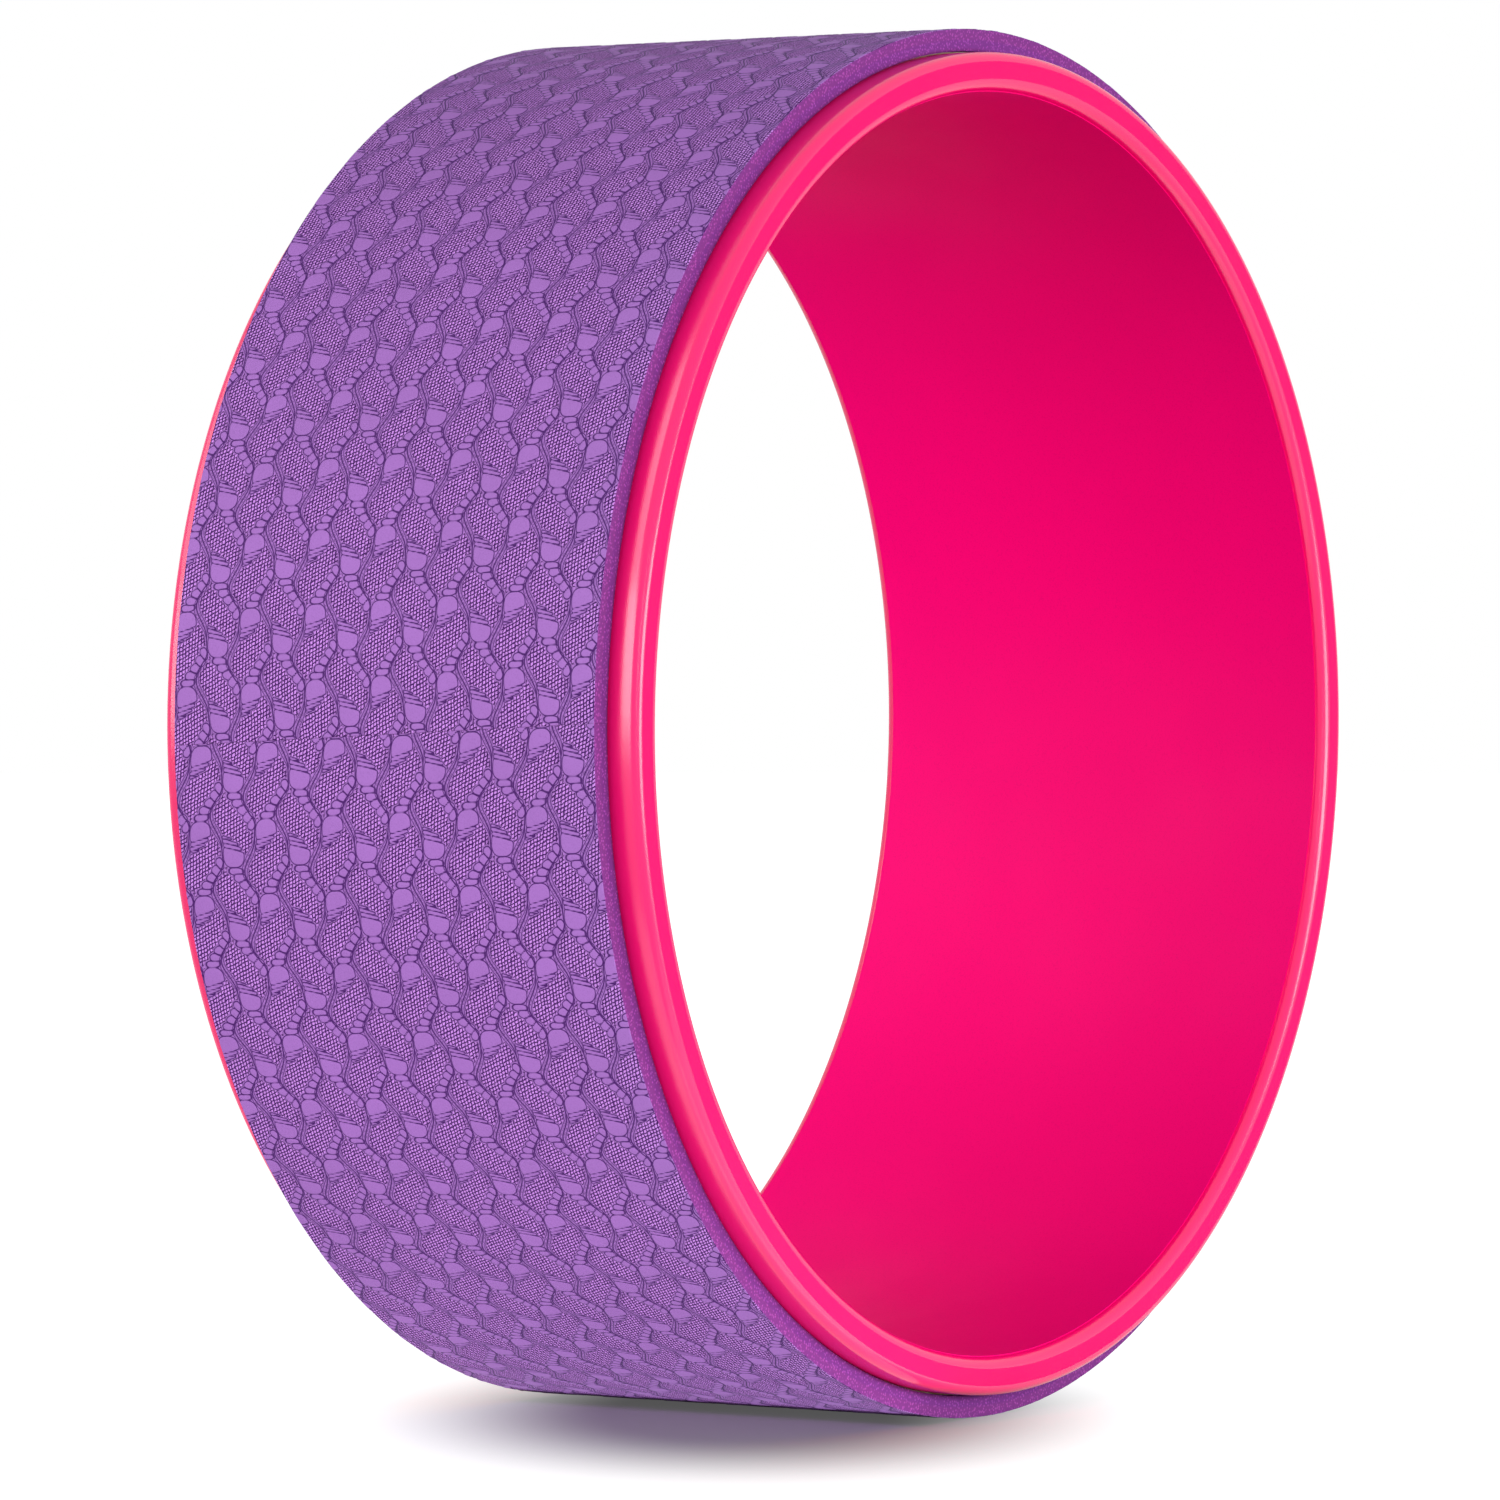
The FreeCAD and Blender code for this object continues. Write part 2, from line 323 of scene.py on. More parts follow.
def embossed_foam(look):
    """The mat's face: smooth raised lace, grooves with painted shade, and fine woven cells.

    Reaches and margins are in the lace's millimetres: where a mark is full and where it ends, or
    where the woven cells start and where they are full.
    """
    outline_reach, brim_reach, brim_level = (0.03, 0.18), (0.02, 0.15), 0.3
    stem_reach, beside_reach, beside_level = (0.07, 0.27), (0.03, 0.2), 0.9
    shape_margin, stem_margin = (0.16, 0.4), (0.2, 0.5)
    # the last two set the reach and strength of the painted shadow by the stems
    shade_reach, shade_level = (0.4, 2.2), 0.4
    stray_scale, stray_size = 700.0, 0.9
    thread_gap, thread_blur = 0.21, 0.6
    patch_scale, worn_scale, grain_scale = 24.0, 1300.0, 3200.0
    line_shade, grain_level = 0.9, 0.14
    gap_depth, grain_depth = 0.3 * MM, 0.04 * MM
    raised_roughness, woven_roughness = 0.66, 0.82

    finish = Finish("embossed_foam")
    shape = finish.attribute("shape_edge")
    band = finish.attribute("band_edge")
    stems = zip(stem_lines(finish, "first_stem"), stem_lines(finish, "second_stem"))
    stem, beside = [finish.math("MINIMUM", first, second) for first, second in stems]
    weave = finish.attribute("weave", "Vector")

    # painted shade: thin darker marks round the shapes, along the brims of the bands and along the
    # stems, for the shade that falls in the grooves
    outline = finish.ramp(finish.math("ABSOLUTE", shape), *outline_reach, 1.0, 0.0)
    brim = finish.ramp(finish.math("ABSOLUTE", band), *brim_reach, brim_level, 0.0)
    brim = finish.math("MULTIPLY", brim, finish.ramp(shape, -0.05, 0.05))
    wavy = finish.math(
        "MAXIMUM",
        finish.ramp(stem, *stem_reach, 1.0, 0.0),
        finish.ramp(beside, *beside_reach, beside_level, 0.0))
    painted_line_shade = finish.math("MAXIMUM", finish.math("MAXIMUM", outline, brim), wavy)
    cells = finish.math(
        "MULTIPLY",
        finish.ramp(finish.math("MINIMUM", shape, band), *shape_margin),
        finish.ramp(finish.math("MINIMUM", stem, beside), *stem_margin))

    stray = finish.noise(stray_scale, 2.0, "Color")
    jitter = finish.add(
        "ShaderNodeVectorMath", {0: stray, 1: (0.5, 0.5, 0.5)}, operation="SUBTRACT").outputs[0]
    loose = finish.add(
        "ShaderNodeVectorMath", {0: jitter, 1: (stray_size, stray_size, stray_size), 2: weave},
        operation="MULTIPLY_ADD").outputs[0]
    threads = finish.add(
        "ShaderNodeTexBrick",
        {"Vector": loose, "Scale": 1.0, "Mortar Size": thread_gap, "Mortar Smooth": thread_blur,
         "Brick Width": 1.0, "Row Height": 1.0, "Bias": 0.0},
        offset=0.0, squash=1.0)
    gaps = finish.math("MULTIPLY", threads.outputs["Fac"], cells)
    grain = finish.noise(grain_scale, 2.0)

    patches = finish.ramp(finish.noise(patch_scale, 3.0), 0.3, 0.7)
    skin = finish.mix(patches, solid(look.raised, 0.95), solid(look.raised, 1.03))
    wear = finish.ramp(finish.noise(worn_scale, 1.0), 0.35, 0.65)
    wear_and_stem_shadow = finish.mix(wear, solid(look.woven, 0.92), solid(look.woven, 1.05))
    # painted shadow: the woven cells get darker towards each stem, standing for the shadow that the
    # raised band casts on them
    shade = finish.ramp(stem, *shade_reach, shade_level, 0.0)
    wear_and_stem_shadow = finish.mix(shade, wear_and_stem_shadow, solid(look.groove))
    tone = finish.mix(cells, skin, wear_and_stem_shadow)
    # painted shade in the gaps between the threads, which the bump also sinks
    tone = finish.mix(gaps, tone, solid(look.groove))
    # painted shade in the grooves
    tone = finish.mix(painted_line_shade, tone, solid(look.groove, line_shade))
    tone = finish.mix(finish.ramp(grain, 0.45, 0.75, 0.0, grain_level), tone, solid(look.groove))
    hollow = finish.bump(finish.math("MULTIPLY", gaps, -1.0), gap_depth)
    finish.surface(
        Base_Color=tone,
        Roughness=finish.ramp(cells, 0.0, 1.0, raised_roughness, woven_roughness),
        Specular_IOR_Level=0.1,
        Sheen_Weight=0.02,
        Sheen_Roughness=0.5,
        Normal=finish.bump(grain, grain_depth, hollow))
    return finish.material


def cut_foam(look):
    """The mat's cut sides, in two tones across, with painted shade in their open cells."""
    layer_blur = 0.4 * MM
    pore_scale, pore_level, pore_shade, pore_depth = 1400.0, 0.55, 0.7, 0.06 * MM
    finish = Finish("cut_foam")
    where = finish.place()
    axes = finish.add("ShaderNodeSeparateXYZ", {"Vector": where})
    across = finish.math("POWER", axes.outputs["X"], 2.0)
    upright = finish.math("POWER", axes.outputs["Z"], 2.0)
    radius = finish.math("SQRT", finish.math("ADD", across, upright))
    middle = (look.inside + look.outside) / 2
    # the tone changes halfway up the cut side
    layer = finish.ramp(radius, middle - layer_blur, middle + layer_blur)
    cells = finish.add(
        "ShaderNodeTexVoronoi", {"Vector": where, "Scale": pore_scale}, feature="F1")
    pores = finish.ramp(cells.outputs["Distance"], 0.12, 0.5)
    # painted shade in the open cells of the foam
    painted_pore_shade = finish.math("MULTIPLY", pores, pore_level)
    tone = finish.mix(layer, solid(look.hoop_half_tone), solid(look.tread_half_tone))
    finish.surface(
        Base_Color=finish.mix(painted_pore_shade, tone, solid(look.groove, pore_shade)),
        Roughness=0.85,
        Specular_IOR_Level=0.1,
        Normal=finish.bump(pores, pore_depth))
    return finish.material


def seen_white(tree):
    """1 for rays that show the background itself, 0 for those that gather light from it."""
    path = tree.nodes.new("ShaderNodeLightPath")
    total = path.outputs["Is Camera Ray"]
    for name in ("Is Glossy Ray", "Is Transmission Ray"):
        node = tree.nodes.new("ShaderNodeMath")
        node.operation = "MAXIMUM"
        tree.links.new(total, node.inputs[0])
        tree.links.new(path.outputs[name], node.inputs[1])
        total = node.outputs[0]
    return total


def pale_floor(look):
    """A grey floor that is lifted to white where it is seen, and keeps its own shadow under the wheel.

    The lift is weakest in an ellipse round the wheel's foot, a painted shadow over the grey floor,
    and grows outwards, counted in the ellipse's own half sizes.
    """
    painted_shadow_core, painted_shadow_end = 0.42, 1.36
    wear_scale, wear_shade = 3.0, 0.99
    finish = Finish("pale_floor")
    wear = finish.noise(wear_scale, 2.0)
    tone = finish.mix(wear, solid(look.floor, wear_shade), solid(look.floor))
    finish.surface(Base_Color=tone, Roughness=0.9, Specular_IOR_Level=0.0)
    glow = finish.add("ShaderNodeEmission", {"Color": (1.0, 1.0, 1.0, 1.0)})
    reach = (look.painted_shadow_wide, look.painted_shadow_deep, 1.0)
    part = finish.add(
        "ShaderNodeVectorMath", {0: finish.place(), 1: reach}, operation="DIVIDE").outputs[0]
    away = finish.add("ShaderNodeVectorMath", {0: part}, operation="LENGTH").outputs["Value"]
    # painted shadow: the lift is weak inside the ellipse and grows to full white outside it
    level = finish.ramp(away, painted_shadow_core, painted_shadow_end, look.lift, 1.0)
    finish.feed(glow.inputs["Strength"], finish.math("MULTIPLY", seen_white(finish.tree), level))
    both = finish.add(
        "ShaderNodeAddShader", {0: finish.shader.outputs["BSDF"], 1: glow.outputs["Emission"]})
    finish.feed(finish.tree.nodes["Material Output"].inputs["Surface"], both.outputs[0])
    return finish.material


LAYOUT_MARGIN = 0.002


def ring_mesh(name, angle, radius, across, spread, rows, ends_meet):
    """Sweeps a closed section round the wheel's axis.

    angle and radius have a row for each step round the axis and a column for each point of the
    section. across is the place of each point along the axis. spread is its place up the layout of
    the surface, and rows is how many equal lengths of the ring are laid above each other there.
    """
    steps, points = radius.shape
    place = np.stack([radius * np.cos(angle), np.broadcast_to(across, radius.shape),
                      radius * np.sin(angle)], axis=-1)
    spans = steps if ends_meet else steps - 1
    index = np.arange(steps * points).reshape(steps, points)
    here = index[:spans]
    there = np.roll(index, -1, axis=0)[:spans]
    quads = np.stack(
        [here, there, np.roll(there, -1, axis=1), np.roll(here, -1, axis=1)], axis=-1)
    faces = quads.reshape(-1, 4).tolist()
    if not ends_meet:
        faces.append(index[0].tolist())
        faces.append(index[-1, ::-1].tolist())

    mesh = bpy.data.meshes.new(name)
    mesh.from_pydata(place.reshape(-1, 3), [], faces)
    mesh.shade_smooth()

    row_spans = spans // rows
    along = np.arange(spans) % row_spans
    row = np.minimum(np.arange(spans) // row_spans, rows - 1)
    left = (along / row_spans)[:, None] * np.ones(points)
    right = ((along + 1) / row_spans)[:, None] * np.ones(points)
    low = (row[:, None] + spread[None, :-1]) / rows
    high = (row[:, None] + spread[None, 1:]) / rows
    corners = np.stack([left, low, right, low, right, high, left, high], axis=-1)
    layout = corners.reshape(-1, 2) * (1.0 - 2.0 * LAYOUT_MARGIN) + LAYOUT_MARGIN
    if not ends_meet:
        in_margin = 1.0 - LAYOUT_MARGIN / 2
        layout = np.vstack([layout, np.full((2 * points, 2), in_margin)])
    mesh.uv_layers.new(name="layout").uv.foreach_set("vector", layout.ravel())
    return mesh


def add_piece(name, mesh, materials, node):
    """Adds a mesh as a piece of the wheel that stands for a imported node."""
    piece = bpy.data.objects.new(name, mesh)
    bpy.context.scene.collection.objects.link(piece)
    for material in materials:
        mesh.materials.append(material)
    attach(piece, BODY)
    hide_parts(node)
    return piece


def arc(centre_radius, centre_across, size, start, stop, steps):
    """Points of a quarter round in the section, without its two ends.

    Angles are in degrees, from 0 for outwards.
    """
    bend = np.radians(np.linspace(start, stop, steps + 1))[1:-1]
    return [(centre_radius + size * math.cos(b), centre_across + size * math.sin(b)) for b in bend]


class YOGAWHEEL_OT_core_hoop(bpy.types.Operator):
    """Make the moulded hoop with its rounded rims"""
    bl_idname = "yoga_wheel.core_hoop"
    bl_label = "Core hoop"

    FINISH_RIM, FINISH_BORE, FINISH_FACE = range(3)
    STEPS = 384
    ROUND_STEPS = 14
    FLAT_POINTS = 13
    ROWS = 2
    SHARP = math.radians(40)

    def half_section(self, look):
        """Points from the middle of the bore round the far rim to the middle of the outside.

        Each point has the finish of the face that follows it.
        """
        face = look.half_width
        wall_end, land_end = face - look.inner_round, face - look.outer_round
        lip = look.inside + look.lead_in
        seat, brow = lip + look.inner_round, look.outside - look.outer_round
        points, finishes = [], []

        def run(new_points, finish):
            points.extend(new_points)
            finishes.extend([finish] * len(new_points))

        outwards = np.linspace(0, 1, self.FLAT_POINTS)
        inwards = np.linspace(1, 0, self.FLAT_POINTS)[:-1]
        run([(look.inside, wall_end * part) for part in outwards], self.FINISH_BORE)
        run([(lip, wall_end)], self.FINISH_RIM)
        run(arc(seat, wall_end, look.inner_round, 180, 90, self.ROUND_STEPS), self.FINISH_RIM)
        run([(seat, face), ((seat + brow) / 2, face)], self.FINISH_FACE)
        run([(brow, face)], self.FINISH_RIM)
        run(arc(brow, land_end, look.outer_round, 90, 0, self.ROUND_STEPS), self.FINISH_RIM)
        run([(look.outside, land_end * part) for part in inwards], self.FINISH_RIM)
        return points, finishes

    def execute(self, context):
        look = context.scene.yoga_hoop
        far, far_finish = self.half_section(look)
        near = [(radius, -across) for radius, across in far[:0:-1]]
        near_finish = far_finish[-2::-1]
        middle = [(look.outside, 0.0)]
        section = np.array(far + middle + near)
        finish = far_finish + [self.FINISH_RIM] + near_finish
        radius = np.tile(section[:, 0], (self.STEPS, 1))
        turns = np.linspace(0, 2 * math.pi, self.STEPS, endpoint=False)
        angle = turns[:, None] * np.ones(len(section))
        steps = np.hypot(*np.diff(np.vstack([section, section[:1]]), axis=0).T)
        spread = np.concatenate([[0], np.cumsum(steps)]) / steps.sum()
        mesh = ring_mesh(
            "core_hoop_shell", angle, radius, section[:, 1], spread, self.ROWS, ends_meet=True)
        mesh.polygons.foreach_set("material_index", np.tile(finish, self.STEPS).astype(np.int32))
        mesh.set_sharp_from_angle(angle=self.SHARP)
        # the rims and end faces take the lit copy of the plastic colour, which is painted light
        rim = moulded_plastic(
            "rim_plastic", look.rim_plastic, look.rim_roughness,
            shine=0.58, peel=0.01 * MM, speckle=0.0)
        bore = moulded_plastic(
            "bore_plastic", look.plastic, look.bore_roughness,
            shine=0.04, peel=0.02 * MM, speckle=0.25)
        face = moulded_plastic(
            "face_plastic", look.rim_plastic, look.face_roughness,
            shine=0.1, peel=0.01 * MM, speckle=0.6)
        add_piece("hoop", mesh, [rim, bore, face], "core_hoop")
        return {"FINISHED"}


class YOGAWHEEL_OT_bond(bpy.types.Operator):
    """Give the bond between the hoop and the mat its finish"""
    bl_idname = "yoga_wheel.bond"
    bl_label = "Bond"

    def execute(self, context):
        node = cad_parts["adhesive_film"]
        if not node.material_slots:
            raise RuntimeError("the bond has no material slot to finish")
        material = dried_adhesive(context.scene.yoga_hoop)
        for holder in node.material_slots:
            holder.material = material
        return {"FINISHED"}


class Lace:
    """The emboss, in millimetres: right is towards the near edge, down is along from the seam.

    Two kinds of column stand side by side between wavy stems. In each, a domed node has ribs on one
    side and a chain of beads on the other. The second kind is the first turned upside down.
    """
    # the repeat, and where the second kind's node stands in it, as shares right and down
    WIDE = 17.7
    TALL = 16.4
    SECOND = (0.5, 0.39)
    # the node: right, down, half width and half height of its dome, then its slanted base as the
    # weights of right and down with the level that they reach, and how soft the two corners are
    DOME = (0.1, 1.0, 2.8, 3.0)
    BASE = (0.25, 0.97, 1.9)
    NODE_CORNER = 0.2
    # the power of the ovals, where 2 is a plain one and more is squarer
    SQUARENESS = 2.7
    # how far apart two shapes that meet are kept
    PARTING = 0.05
    # right, down, half width, half height, tilt in degrees
    BEADS = (
        (0.50, -2.85, 1.95, 0.80, 4.0),
        (1.45, -4.35, 1.62, 1.02, 12.0),
        (2.72, -5.85, 1.48, 1.10, 25.0),
        (4.12, -7.45, 1.28, 1.28, 30.0),
        (5.05, -8.95, 0.96, 1.40, 16.0),
    )
    # right and down of both ends, half thickness at both ends
    RIBS = (
        (-2.15, 2.95, 1.90, 2.05, 0.48, 0.34),
        (-2.45, 3.95, 1.10, 3.10, 0.42, 0.28),
        (-2.60, 4.80, -0.50, 4.30, 0.32, 0.18),
    )
    # the bends of the stem on the left of a column
    STEM_DOWN = (-1.5, 0.0, 3.6, 5.3, 8.2, 9.7, 11.2, 12.7)
    STEM_RIGHT = (-2.75, -2.95, -3.2, -4.0, -5.85, -6.15, -5.75, -4.7)
    STEM_EASE = (-0.8, -0.3, 0.3, 0.8)
    # a short way down the stem, to find its slant
    SLANT_STEP = 0.1
    # the finer grooves: how far off the stem, and the middle, run and reach of their bow
    SPLIT, SPLIT_MIDDLE, SPLIT_RUN, SPLIT_REACH = 0.72, 7.2, 4.4, 1.3
    # the band that carries the beads
    BAND_MIDDLE, BAND_HALF_LENGTH = -6.3, 4.0
    BAND_WIDE, BAND_OVERLAP = 1.75, 0.05
    TOOTH_PITCH, TOOTH_REACH = 0.8, 0.6
    # pitch of the threads, and the direction that they follow each other in, in degrees
    THREADS = ((0.80, 68.0), (0.83, 3.0))

    def __init__(self, right, down):
        self.right = right
        self.down = down

    @staticmethod
    def eased(value):
        """Smooth step of a value held between 0 and 1."""
        part = np.clip(value, 0.0, 1.0)
        return part * part * (3.0 - 2.0 * part)

    def oval(self, right, down, half_width, half_height):
        """Distance outside a squarish oval."""
        power = self.SQUARENESS
        reach = abs(right / half_width) ** power + abs(down / half_height) ** power
        return (reach ** (1.0 / power) - 1.0) * min(half_width, half_height)

    def stem(self, down):
        """The stem left of a column, for a place below the column's node. Its bends are eased."""
        places = [np.interp(down + step, self.STEM_DOWN, self.STEM_RIGHT, period=self.TALL)
                  for step in self.STEM_EASE]
        return sum(places) / len(places)

    def slant(self, down):
        """How much longer the stem is than its run down the mat."""
        step = self.SLANT_STEP
        return np.hypot(1.0, (self.stem(down + step) - self.stem(down - step)) / (2 * step))

    def local(self, second):
        """Places round a node of a column, turned upside down for the second kind."""
        right = self.right - (self.SECOND[0] * self.WIDE if second else 0.0)
        down = self.down - (self.SECOND[1] * self.TALL if second else 0.0)
        return right, -down if second else down

    def wrap_right(self, right):
        """The offset from the nearest repeat sideways."""
        return (right + self.WIDE / 2) % self.WIDE - self.WIDE / 2

    def wrap_down(self, down):
        """The offset from the nearest repeat along the mat."""
        return (down + self.TALL / 2) % self.TALL - self.TALL / 2

    def shapes(self, second):
        """Distances outside the node, each bead and each rib of one kind of column."""
        right, down = self.local(second)
        across, along = self.wrap_right(right), self.wrap_down(down)
        dome_right, dome_down, half_width, half_height = self.DOME
        dome = self.oval(across - dome_right, along - dome_down, half_width, half_height)
        base_right, base_down, base_level = self.BASE
        base = base_right * across + base_down * along - base_level
        edges = [0.5 * (dome + base + np.hypot(dome - base, self.NODE_CORNER))]
        for at_right, at_down, half_width, half_height, tilt in self.BEADS:
            across, along = self.wrap_right(right - at_right), self.wrap_down(down - at_down)
            sine, cosine = math.sin(math.radians(tilt)), math.cos(math.radians(tilt))
            edges.append(self.oval(
                across * cosine - along * sine, across * sine + along * cosine,
                half_width, half_height))
        for right_0, down_0, right_1, down_1, thick_0, thick_1 in self.RIBS:
            across, along = self.wrap_right(right - right_0), self.wrap_down(down - down_0)
            reach_right, reach_down = right_1 - right_0, down_1 - down_0
            whole = reach_right ** 2 + reach_down ** 2
            part = np.clip((across * reach_right + along * reach_down) / whole, 0, 1)
            away = np.hypot(across - part * reach_right, along - part * reach_down)
            edges.append(away - (thick_0 + (thick_1 - thick_0) * part))
        return edges

    def band(self, second):
        """Distance outside the toothed band that carries the beads, along the column's right stem."""
        right, down = self.local(second)
        beside = self.SECOND[1] * self.TALL - down
        across = self.wrap_right(self.SECOND[0] * self.WIDE + self.stem(beside) - right)
        across = across / self.slant(beside)
        along = self.wrap_down(down - self.BAND_MIDDLE)
        teeth = abs((along / self.TOOTH_PITCH) % 1.0 - 0.5)
        toothed = across - self.BAND_WIDE - self.TOOTH_REACH * teeth
        side = np.maximum(toothed, -across - self.BAND_OVERLAP)
        return np.maximum(side, abs(along) - self.BAND_HALF_LENGTH)

    def stem_offset(self, second):
        """Offset from the stem left of one kind of column, and how far off its finer grooves run."""
        right, down = self.local(second)
        along = down % self.TALL
        away = self.wrap_right(right - self.stem(along)) / self.slant(along)
        bow = self.SPLIT_REACH - abs(along - self.SPLIT_MIDDLE) / self.SPLIT_RUN
        return away, self.SPLIT * self.eased(bow)

    def threads(self):
        """Places in the lattice of threads, counted in threads each way."""
        places = []
        for pitch, lean in self.THREADS:
            turned = math.radians(lean)
            places.append((self.right * math.cos(turned) + self.down * math.sin(turned)) / pitch)
        return np.stack(places + [np.zeros_like(self.right)], axis=-1)

    def solve(self):
        """Distances from the shapes and the bands, the stems' offsets and the cells' thread places.

        Where two shapes meet, each ends halfway to the other.
        """
        nearest = np.full_like(self.right, np.inf)
        second = nearest
        for edge in self.shapes(False) + self.shapes(True):
            second = np.minimum(second, np.maximum(nearest, edge))
            nearest = np.minimum(nearest, edge)
        shapes = np.maximum(nearest, (nearest - second) / 2 + self.PARTING)
        bands = np.minimum(self.band(False), self.band(True))
        stems = self.stem_offset(False), self.stem_offset(True)
        return shapes, bands, stems, self.threads()


class YOGAWHEEL_OT_tread_mat(bpy.types.Operator):
    """Wrap the embossed foam mat round the hoop"""
    bl_idname = "yoga_wheel.tread_mat"
    bl_label = "Tread mat"

    ROWS = 3
    SHOULDER_STEPS = 3
    SIDE_STEPS = 6
    UNDER_STEPS = 8
    FINISH_FACE, FINISH_CUT = range(2)
    # in the lace's millimetres: where the woven cells begin to sink, how wide that slope is,
    # and the half width of the grooves
    SLOPE_START, SLOPE_WIDE, GROOVE_WIDE = -0.2, 0.35, 0.22
    SEAM_REACH = 0.5 * MM
    # the underside can't be seen, and takes only this share of its size in the layout
    HIDDEN_SHARE = 0.05
    # how the lace lies on the mat, in millimetres: its columns lean one way at the seam, change
    # over to the end's lean as they go round, and come a little closer together
    LEAN_END, LEAN_CHANGE, LEAN_SETTLE = math.radians(5.15), math.radians(10.65), 340.0
    NODE_RIGHT, NODE_ALONG = 4.17, 19.16
    ROW_PITCH, COLUMN_PITCH = 16.73, 18.2
    COLUMN_LOSS = 0.6 / 999.0

    def section(self, look):
        """Columns of the mat's section: across, base radius, share of the relief, and finish."""
        flat = look.half_width - look.edge_round
        ridge = look.outside - look.edge_round
        count = round(2 * flat / look.grain)
        bend = np.radians(np.linspace(0, 90, self.SHOULDER_STEPS + 1))[1:]
        fall = np.linspace(ridge, look.inside, self.SIDE_STEPS + 1)[1:]
        under = np.linspace(look.half_width, -look.half_width, self.UNDER_STEPS + 1)[1:]
        rise = fall[::-1][1:]
        out, fade = look.edge_round * np.sin(bend), np.cos(bend)
        shoulder = ridge + look.edge_round * fade
        parts = [
            (np.linspace(-flat, flat, count + 1), np.full(count + 1, look.outside),
             np.ones(count + 1), self.FINISH_FACE),
            (flat + out, shoulder, fade, self.FINISH_FACE),
            (np.full(len(fall), look.half_width), fall, np.zeros(len(fall)), self.FINISH_CUT),
            (under, np.full(len(under), look.inside), np.zeros(len(under)), self.FINISH_CUT),
            (np.full(len(rise), -look.half_width), rise, np.zeros(len(rise)), self.FINISH_CUT),
            (-flat - out[::-1], shoulder[::-1], fade[::-1], self.FINISH_FACE),
        ]
        across = np.concatenate([part[0] for part in parts])
        radius = np.concatenate([part[1] for part in parts])
        relief = np.concatenate([part[2] for part in parts])
        finish = np.concatenate([np.full(len(part[0]), part[3]) for part in parts])
        finish[count + self.SHOULDER_STEPS] = self.FINISH_CUT
        return across, radius, relief, finish

    def drift(self, along):
        """How far a column has moved sideways, at a place along the mat."""
        settled = self.LEAN_SETTLE * (1.0 - np.exp(-along / self.LEAN_SETTLE))
        return self.LEAN_END * along - self.LEAN_CHANGE * settled

    def lace_place(self, along, right):
        """Where a point of the mat falls in the lace."""
        pitch = self.COLUMN_PITCH - self.COLUMN_LOSS * along
        moved = self.drift(along) - self.drift(self.NODE_ALONG)
        column = (right - self.NODE_RIGHT - moved) / pitch
        return column * Lace.WIDE, (along - self.NODE_ALONG) / self.ROW_PITCH * Lace.TALL

    def execute(self, context):
        look = context.scene.yoga_mat
        across, base, relief, finish = self.section(look)
        around = 2 * math.pi * look.outside
        spans = round(around / look.grain / self.ROWS) * self.ROWS
        along = np.linspace(look.seam_gap / 2, around - look.seam_gap / 2, spans + 1)
        right, down = np.meshgrid(across, along)
        angle = look.seam_place + (down - math.tan(look.seam_slant) * right) / look.outside

        carved = relief > 0
        lace = Lace(*self.lace_place(down[:, carved] / MM, right[:, carved] / MM))
        shapes, bands, stems, threads = lace.solve()
        groove = np.minimum(
            *[np.minimum(abs(away), abs(abs(away) - split)) for away, split in stems])
        sunk = (np.minimum(shapes, bands) - self.SLOPE_START) / self.SLOPE_WIDE
        drop = look.weave_depth * Lace.eased(sunk)
        drop += look.outline_depth * np.exp(-(shapes / self.GROOVE_WIDE) ** 2)
        drop += look.stem_depth * np.exp(-(groove / self.GROOVE_WIDE) ** 2)
        from_end = np.minimum(along - along[0], along[-1] - along)[:, None] / self.SEAM_REACH
        drop += look.seam_round * np.clip(1.0 - from_end, 0.0, 1.0) ** 2
        radius = np.tile(base, (spans + 1, 1))
        radius[:, carved] -= drop * relief[carved]

        face_size = np.hypot(
            np.diff(np.append(across, across[0])), np.diff(np.append(base, base[0])))
        hidden = (base <= look.inside) & (np.roll(base, -1) <= look.inside)
        face_size = np.where(hidden, face_size * self.HIDDEN_SHARE, face_size)
        spread = np.concatenate([[0], np.cumsum(face_size)]) / face_size.sum()
        mesh = ring_mesh(
            "tread_mat_foam", angle, radius, -across, spread, self.ROWS, ends_meet=False)
        for name, values in (("shape_edge", shapes), ("band_edge", bands)):
            whole = np.ones_like(radius)
            whole[:, carved] = values
            mesh.attributes.new(name, "FLOAT", "POINT").data.foreach_set(
                "value", whole.ravel().astype(np.float32))
        vectors = {"weave": threads}
        for name, (away, split) in zip(("first_stem", "second_stem"), stems):
            turned = 2 * math.pi / Lace.WIDE * away
            vectors[name] = np.stack([np.sin(turned), np.cos(turned), split], axis=-1)
        for name, values in vectors.items():
            whole = np.full(radius.shape + (3,), -1.0)
            whole[:, carved] = values
            mesh.attributes.new(name, "FLOAT_VECTOR", "POINT").data.foreach_set(
                "vector", whole.ravel().astype(np.float32))
        cut_ends = [self.FINISH_CUT, self.FINISH_CUT]
        slots = np.append(np.tile(finish, spans), cut_ends).astype(np.int32)
        mesh.polygons.foreach_set("material_index", slots)
        piece = add_piece(
            "mat", mesh, [embossed_foam(look), cut_foam(look)], "tread_mat")
        return {"FINISHED"}


